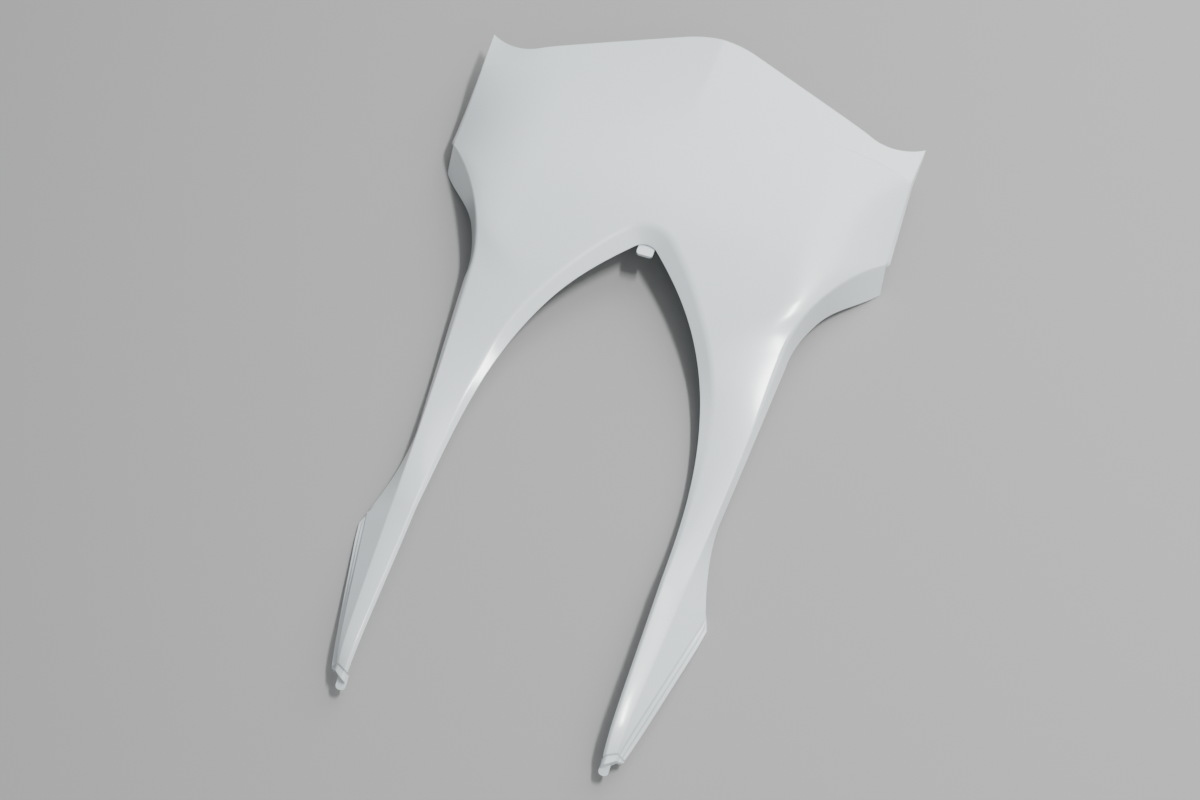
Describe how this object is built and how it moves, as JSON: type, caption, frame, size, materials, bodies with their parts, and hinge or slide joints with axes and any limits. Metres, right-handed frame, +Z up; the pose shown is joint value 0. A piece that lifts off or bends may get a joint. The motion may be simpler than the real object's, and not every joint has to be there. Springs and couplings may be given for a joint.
{
  "type": "motorcycle nose fairing panel",
  "caption": "Thin moulded nose panel with two long legs round a pointed-arch opening, flared ears, hip flanges and stepped, tongued leg tips.",
  "frame": {"origin": "centre of the panel's outline on the floor plane, where its hip corners and leg shoulders rest", "axes": "+Y from the leg tips to the top edge, +Z up out of the painted face, X across the panel"},
  "size_m": [0.28, 0.4618, 0.0395],
  "materials": {
    "panel": "satin"
  },
  "bodies": {
    "root": {"nose_panel": "panel"}
  },
  "joints": []
}
